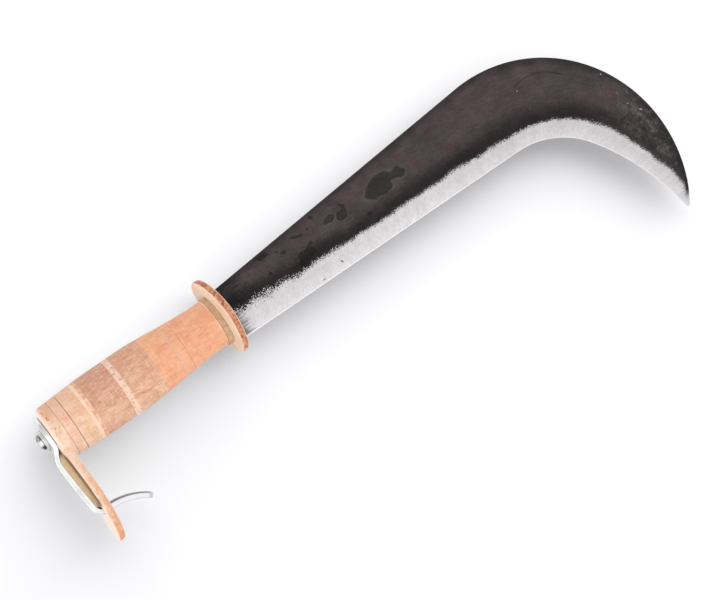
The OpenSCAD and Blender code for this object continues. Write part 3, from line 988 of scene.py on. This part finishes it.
def hookLine(h):
    # middle line of the strip in the plane of the blade, evenly spaced
    plateSteps = 60
    x = backX - h["thick"] / 2
    bendY = h["bendRadius"] - h["prongDrop"]
    points = [np.array([x, y]) for y in np.linspace(h["plateRadius"], -h["strapFrom"], plateSteps)]
    # the bowed strap is one curve with two handles
    a = np.array([x, -h["strapFrom"]])
    b = np.array([x - h["bow"], bendY / 3])
    c = np.array([x - h["strapOff"] / 2, bendY * 2 / 3])
    d = np.array([x - h["strapOff"], bendY])
    for t in np.linspace(0, 1, 120)[1:]:
        points.append((1 - t) ** 3 * a + 3 * (1 - t) ** 2 * t * b + 3 * (1 - t) * t * t * c + t ** 3 * d)
    points += arcPoints(d + [h["bendRadius"], 0], h["bendRadius"], 180, 270, 40)[1:]
    flareC = np.array([backX + h["flareFrom"], -h["prongDrop"] - h["flareRadius"]])
    points += arcPoints(flareC, h["flareRadius"], 90, 90 - h["flareTurn"], 90)
    points = np.array(points)
    run = np.concatenate([[0], np.cumsum(np.hypot(*np.diff(points, axis=0).T))])
    even = np.linspace(0, run[-1], 700)
    line = np.column_stack([np.interp(even, run, points[:, axis]) for axis in (0, 1)])
    # soften the kink where the strap leaves the plate
    spacing = even[1]
    reach = int(3 * h["kinkSoft"] / spacing)
    weight = bellWeights(reach, h["kinkSoft"] / spacing)
    nearKink = even <= run[plateSteps - 1] + h["kinkReach"]
    nearKink[:reach] = False
    for axis in (0, 1):
        smooth = np.convolve(line[:, axis], weight, "same")
        line[nearKink, axis] = smooth[nearKink]
    return even, line


def slabRings(along, half, thick, rounding, across):
    # closed rings of (along, across, depth) for a plate whose half width is given along its length
    slope = np.gradient(np.stack([along, half], 1), axis=0)
    normal = np.stack([-slope[:, 1], slope[:, 0]], 1)
    normal /= np.linalg.norm(normal, axis=1)[:, None]
    turn = np.radians([0, 25, 50, 75, 90])
    fill = np.linspace(1, -1, across)[1:-1]
    rings = []
    for at, wide, deep, (nAlong, nAcross) in zip(along, half, thick, normal):
        wall = [(rounding * (1 - sin(a)), rounding * (1 - cos(a))) for a in turn]
        wall += [(0, deep / 2)] + [(inset, deep - depth) for inset, depth in wall[::-1]]
        side = np.array([(at - nAlong * inset, max(wide - nAcross * inset, sliver), d) for inset, d in wall])
        backFace = side[-1] * np.column_stack([np.ones_like(fill), fill, np.ones_like(fill)])
        frontFace = side[0] * np.column_stack([np.ones_like(fill), -fill, np.ones_like(fill)])
        rings.append(np.concatenate([side, backFace, side[::-1] * [1, -1, 1], frontFace]))
    return np.array(rings)


def bendStrip(flat, h, lineRun, line, rollFrom, rollTo):
    # lay the flat strip on its middle line, twist the strap and roll the prong about its own heading
    run = np.clip(flat[..., 0], 0, lineRun[-1])
    heading = np.gradient(line, lineRun, axis=0)
    heading /= np.linalg.norm(heading, axis=1)[:, None]
    at = [np.interp(run, lineRun, line[:, axis]) for axis in (0, 1)]
    way = [np.interp(run, lineRun, heading[:, axis]) for axis in (0, 1)]
    into = ease((run - h["twistFrom"]) / h["twistOver"])
    onward = ease((run - rollFrom) / (rollTo - rollFrom))
    roll = radians(h["strapTwist"]) * into * (1 - onward) + radians(h["prongRoll"]) * onward
    side, lift = flat[..., 1], flat[..., 2] - h["thick"] / 2
    # the strip's thickness points to the right of its heading, which is out of the back of the plate
    outwards = lift * np.cos(roll) + side * np.sin(roll)
    sideways = side * np.cos(roll) - lift * np.sin(roll)
    return np.stack([at[0] + way[1] * outwards, at[1] - way[0] * outwards, sideways], -1)


def hookHalf(run, h, length, bendRun):
    # half width: the round plate runs into a taper that touches it, down to the bend and on to the round tip
    plate = h["plateRadius"]
    lean = (plate - h["bendHalf"]) / (bendRun - plate)
    disc = np.sqrt(np.clip(plate ** 2 - (run - plate) ** 2, 0, None))
    strap = plate * sqrt(1 + lean * lean) - lean * (run - plate)
    half = np.where(run < plate * (1 + lean / sqrt(1 + lean * lean)), disc, strap)
    endC = length - h["prongEnd"]
    prong = between(h["bendHalf"], h["prongEnd"], (run - bendRun) / (endC - bendRun))
    half = np.where(run < bendRun, half, prong)
    tip = np.sqrt(np.clip(h["prongEnd"] ** 2 - np.clip(run - endC, 0, None) ** 2, 0, None))
    return np.maximum(np.where(run > endC, tip, half), sliver)


def hookRings(h, grow=0.0, pastBend=None):
    # the whole strip, or a fuller stretch of it past the bend, to cut its slot with
    lineRun, line = hookLine(h)
    length = lineRun[-1]
    strapPart = slice(0, 400)  # the line goes down all along it
    bendRun = np.interp(h["prongDrop"] - h["bendRadius"], -line[strapPart, 1], lineRun[strapPart])
    if pastBend:
        run = np.linspace(bendRun + pastBend[0], bendRun + pastBend[1], 24)
    else:
        head = h["plateRadius"] * (1 - np.cos(np.linspace(0.02, pi / 2, 26)))
        tail = length - h["prongEnd"] * (1 - np.cos(np.linspace(0.02, pi / 2, 14)))
        run = np.concatenate([head, np.linspace(head[-1], tail[-1], 130)[1:-1], tail[::-1]])
    thick = between(h["thick"], h["prongThick"], ease((run - h["thickFrom"]) / h["thickOver"])) + 2 * grow
    flat = slabRings(run, hookHalf(run, h, length, bendRun) + grow, thick, h["edgeRound"], 9)
    flat[..., 2] -= ((thick - h["thick"]) / 2)[:, None]
    return bendStrip(flat, h, lineRun, line, bendRun - h["rollBefore"], bendRun + h["rollAfter"])


def makeHook(h):
    piece = skin("beltHookStrip", hookRings(h))
    finishMesh(piece)
    drill = skin("hookBore", [ringAt(backX + end, h["bore"], turns(48)) for end in h["drillEnds"]])
    finishMesh(drill)
    boolean(piece, drill, "DIFFERENCE")
    finishMesh(piece, 40)
    return piece


handledSteel = dict(dull=tone(216, 217, 213), ding=tone(132, 128, 126))
hookSteel = dict(
    handledSteel, base=tone(234, 235, 234), rough=0.30,
    # painted reflections on the inside of the strap (of the leather) and of the prong (of the dark grip), and
    # painted shade on the prong's end; places along Y in mm
    strap=tone(240, 216, 170), prong=tone(122, 102, 94), prongEndShade=tone(214, 215, 217),
    strapFrom=(-10, -16), strapTo=(-50, -46), prongFrom=(-45, -48), prongShadeFrom=(-46, -52),
)
burrSteel = dict(handledSteel, base=tone(222, 220, 217), rough=0.36)


def brightSteel(name, look):
    m = newMaterial(name)
    spot = place(m)
    lines = cloud(m, stretched(m, spot, 900, 120, 2200), 1.0, 3.0, 0.6)
    dull = cloud(m, spot, 160, 4.0, 0.6)
    ding = cloud(m, spot, 520, 2.0, 0.5)
    coats = [(step(m, dull, 0.40, 0.72), "dull"), (step(m, ding, 0.68, 0.76, 0.0, 0.3), "ding")]
    metal = 1.0
    if "strap" in look:
        out = facing(m)
        height = axes(m, spot)["Y"]
        # painted reflection of the leather on the strap's inside, made matte, not metal
        behind = times(m, stepAt(m, height, *look["strapFrom"]), stepAt(m, height, *look["strapTo"]))
        strapInsideReflection = times(m, step(m, out["X"], 0.55, 0.85), behind)
        # painted dark reflection on the prong's inside
        prongInsideReflection = times(m, step(m, out["Y"], 0.45, 0.7), stepAt(m, height, *look["prongFrom"]))
        # painted shade: the prong's end is painted a darker grey
        coats.append((stepAt(m, height, *look["prongShadeFrom"]), "prongEndShade"))
        coats += [(strapInsideReflection, "strap"), (prongInsideReflection, "prong")]
        metal = step(m, strapInsideReflection, 0.0, 1.0, 1.0, 0.0)
    rough = step(m, lines, 0.3, 0.7, look["rough"] - 0.05, look["rough"] + 0.06)
    shader(
        m,
        Base_Color=layered(m, look, look["base"], *coats),
        Metallic=metal,
        Roughness=plus(m, rough, times(m, dull, 0.08)),
        Normal=bump(m, plus(m, lines, times(m, ding, 1.4)), 0.05, 0.6),
    )
    return m


fitPiece(makeHook(hook), "bright_steel", brightSteel("hookSteel", hookSteel), "belt_hook")

# Burr: the small washer that the tang is peened over
burr = dict(radius=6.5, hole=3.7, frontArris=0.2, backArris=0.6, around=72, outOfRound=0.12)


def makeBurr(b):
    profile = roundedProfile(
        burrFrontX, headFrontX, lambda x: b["radius"], b["frontArris"], b["backArris"], 0, 0,
    )
    ring = lathe("burrRing", profile, np.full(b["around"], b["hole"]), b["outOfRound"], 2.2)
    fitPiece(ring, "bright_steel", brightSteel("burrSteel", burrSteel), "burr_washer")


makeBurr(burr)
print("hook and burr on")

# Butt leather: a thick washer with a tongue that hangs behind the grip, slotted for the hook
butt = dict(
    frontArris=0.34, frontSeam=1.0, backRound=8.0, backDepth=4.0, hole=3.75, around=144, outOfRound=0.1,
    tongueHalf=13.5, tongueDrop=71.0, endRadius=10.5, tongueFrom=5.4,
    thickAt=(0, 22, 42, 50, 58, 71), thick=(5.9, 5.4, 5.2, 4.9, 4.6, 4.2),
    inAt=(0, 22, 32, 46, 58, 71), setIn=(0.02, 0.02, 0.45, 0.6, 0.4, 0.3),
    twistAt=(0, 8, 20, 46, 58, 71), twist=(0, 0, 4.0, 4.0, 5.0, 5.0),
    leanFrom=46.0, lean=1.8, arrisRound=1.3, slotPlay=0.35, slotPastBend=(1.0, 18.0),
)


def tongueRings(b):
    corner = b["tongueDrop"] - b["endRadius"]
    roundEnd = corner + b["endRadius"] * np.sin(np.radians(np.linspace(0, 88.8, 24)))
    drop = np.concatenate([np.linspace(b["tongueFrom"], corner, 64), roundEnd[1:]])
    past = np.clip(drop - corner, 0, b["endRadius"])
    taper = np.clip(1 - drop / corner, 0, 1) * (b["tongueHalf"] - b["endRadius"])
    half = taper + np.sqrt(b["endRadius"] ** 2 - past ** 2)
    reach = 4

    def softened(at, values):
        padded = np.pad(np.interp(drop, at, values), reach, "edge")
        return np.convolve(padded, bellWeights(reach, 2.0), "valid")

    thick = softened(b["thickAt"], b["thick"])
    front = (softened(b["inAt"], b["setIn"]) + thick)[:, None]
    twist = np.tan(np.radians(softened(b["twistAt"], b["twist"])))[:, None]
    flat = slabRings(drop, half, thick, b["arrisRound"], 15)
    down, across, deep = flat[..., 0], flat[..., 1], flat[..., 2]
    lean = b["lean"] * (np.clip(down - b["leanFrom"], 0, None) / (b["tongueDrop"] - b["leanFrom"])) ** 2
    return np.stack([backX + front - lean - deep + across * twist, -down, across], -1)


def makeButt(b):
    roundFrom = backX + b["backDepth"]
    profile = roundedProfile(buttFrontX, roundFrom, barrelRadius, b["frontArris"], 0.0, b["frontSeam"], 0.0)
    profile = profile[:-4]  # a larger rounding takes the place of the back arris
    rim = barrelRadius(roundFrom)
    for a in np.radians(np.linspace(90, 0, 12)):
        profile.append((backX + b["backDepth"] * (1 - cos(a)), rim - b["backRound"] * (1 - sin(a)), 0, 0))
    piece = lathe("buttLeather", profile, np.full(b["around"], b["hole"]), b["outOfRound"], 3.9)
    for name, rings, how in (
        ("tongue", tongueRings(b), "UNION"),
        ("slotCutter", hookRings(hook, b["slotPlay"], b["slotPastBend"]), "DIFFERENCE"),
    ):
        tool = skin(name, rings)
        finishMesh(tool)
        boolean(piece, tool, how)
    finishMesh(piece, 40)
    return piece


buttLook = dict(
    face=tone(252, 236, 221), faceDeep=tone(247, 222, 202), faceFrom=0.50, faceTo=0.95,
    edge=tone(247, 214, 190), edgeDeep=tone(240, 196, 166), edgeBurn=tone(218, 156, 118),
    edgePale=tone(251, 228, 211), palePatch=0.5,
    stainSize=210, burnFrom=0.53, burnTo=0.68, burnDepth=0.75,
    spineTone=tone(229, 175, 133), tipTone=tone(226, 160, 118),
    raw=tone(212, 132, 92), rubbed=tone(226, 218, 208), gapShadeDark=tone(112, 72, 46),
    # places in mm: along Y, and along X from the back face
    spineFrom=(-2, 15), scuffY=(-4, 4), scuffX=((5.2, 4.2), (1.6, 2.6)),
    gapShadeFrom=(-10, -16), gapShadeTo=(-51, -46), gapShadeNear=(0, 7), tipFrom=(-48, -62),
    grainX=(2.4, 4.6), grainY=(-14, -26),
)


def buttStains(m, look, spot, stain, face, edge):
    at = axes(m, spot)

    def fromBack(low, high):
        return stepAt(m, at["X"], backX + low, backX + high)

    # scuffs in a row along the back rim, some rubbed grey and some down to the raw hide
    rowTo, rowFrom = look["scuffX"]
    row = times(m, fromBack(*rowTo), stepAt(m, at["Y"], *look["scuffY"]), fromBack(*rowFrom))
    # painted shade in the gap behind the strap, along the near corner of the tongue's back
    under = times(
        m, stepAt(m, at["Y"], *look["gapShadeFrom"]), stepAt(m, at["Y"], *look["gapShadeTo"]),
        step(m, facing(m)["X"], -0.5, -0.8, 0.0, 0.9), stepAt(m, at["Z"], *look["gapShadeNear"]),
    )
    # the grain side of the tongue is deeper in colour than its flesh side, and so is its end
    grained = times(m, fromBack(*look["grainX"]), stepAt(m, at["Y"], *look["grainY"], 0.0, 0.7))
    edge = layered(
        m, look, edge,
        (stepAt(m, at["Y"], *look["spineFrom"], 0.0, 0.75), "spineTone"),
        (times(m, row, step(m, cloud(m, spot, 480, 2.0), 0.54, 0.62)), "raw"),
        (times(m, row, step(m, cloud(m, spot, 560, 2.0, 0.5, 0.8), 0.56, 0.63)), "rubbed"),
        (times(m, stepAt(m, at["Y"], *look["tipFrom"]), step(m, stain, 0.36, 0.58, 0.35, 1.0)), "tipTone"),
        (times(m, grained, step(m, stain, 0.36, 0.60, 0.45, 1.0)), "tipTone"),
    )
    return layered(m, look, face, (under, "gapShadeDark")), edge


fitPiece(makeButt(butt), "leather_peach", skinLeather("buttHide", buttLook, buttStains), "butt_leather")
print("butt leather on")

# camera: back from the target in mm, leaning to the butt and the spine, and rolled
shot = dict(
    target=(135.55, -37.76, 0.0), distance=1250.0, leanBack=12.7, leanUp=3.0, roll=35.19,
    lens=107.06, sensor=36,
)


def makeCamera(s):
    back, up, roll = radians(s["leanBack"]), radians(s["leanUp"]), radians(s["roll"])
    away = Vector((-sin(back) * cos(up), sin(up), cos(back) * cos(up)))
    right = (Vector((1, 0, 0)) - away * away.x).normalized()
    over = away.cross(right)
    turnedRight = cos(roll) * right - sin(roll) * over
    turnedUp = sin(roll) * right + cos(roll) * over
    camera = addToScene("camera", bpy.data.cameras.new("camera"))
    camera.data.lens = s["lens"]
    camera.data.sensor_width = s["sensor"]
    camera.data.sensor_fit = "HORIZONTAL"
    pose = Matrix((turnedRight, turnedUp, away)).transposed().to_4x4()
    pose.translation = (Vector(s["target"]) + s["distance"] * away) * mm
    camera.matrix_world = pose
    bpy.context.scene.camera = camera


makeCamera(shot)

# pale floor under the lowest point, in metres; the key lamp lights it alone and makes the shadow,
# a wide soft one lights the tool, and a low one fills in its butt
light = dict(
    floorHalf=4.0, floorTone=(0.8, 0.799, 0.807, 1),
    world=0.765, worldTint=(0.985, 0.985, 1.0, 1), aim=(0.13, -0.03, 0.0),
    lamps=dict(
        key=dict(size=3.2, power=50.5, place=(1.05, 0.92, 1.28), floorOnly=True),
        soft=dict(size=2.2, power=7.4, place=(0.45, -0.50, 1.30), floorOnly=False),
        fill=dict(size=1.2, power=5.0, place=(-1.15, -0.15, 0.60), floorOnly=False),
    ),
)


def makeFloor(half, colour):
    low = cadBox[0][2]
    mesh = bpy.data.meshes.new("floor")
    corners = [(-half, -half, low), (half, -half, low), (half, half, low), (-half, half, low)]
    mesh.from_pydata(corners, [], [(0, 1, 2, 3)])
    floor = addToScene("floor", mesh)
    m = newMaterial("paleFloor")
    shader(m, Base_Color=colour, Roughness=0.9, Specular_IOR_Level=0.1)
    mesh.materials.append(m)
    return floor


def makeLamp(name, lamp, aim, floor):
    data = bpy.data.lights.new(name, "AREA")
    data.shape = "DISK"
    data.size = lamp["size"]
    data.energy = lamp["power"]
    holder = addToScene(name, data)
    holder.location = lamp["place"]
    holder.rotation_euler = (Vector(aim) - Vector(lamp["place"])).to_track_quat("-Z", "Y").to_euler()
    linked = bpy.data.collections.new(name + "Lit")
    linked.objects.link(floor)
    linked.collection_objects[0].light_linking.link_state = "INCLUDE" if lamp["floorOnly"] else "EXCLUDE"
    holder.light_linking.receiver_collection = linked


def makeWorld(strength, tint):
    world = bpy.data.worlds.new("studio")
    bpy.context.scene.world = world
    world.use_nodes = True
    backdrop = world.node_tree.nodes["Background"]
    backdrop.inputs["Color"].default_value = tint
    backdrop.inputs["Strength"].default_value = strength


floorPlane = makeFloor(light["floorHalf"], light["floorTone"])
for lampName, lamp in light["lamps"].items():
    makeLamp(lampName, lamp, light["aim"], floorPlane)
makeWorld(light["world"], light["worldTint"])
bpy.context.scene.view_settings.view_transform = "Standard"
print("camera, floor and light set")
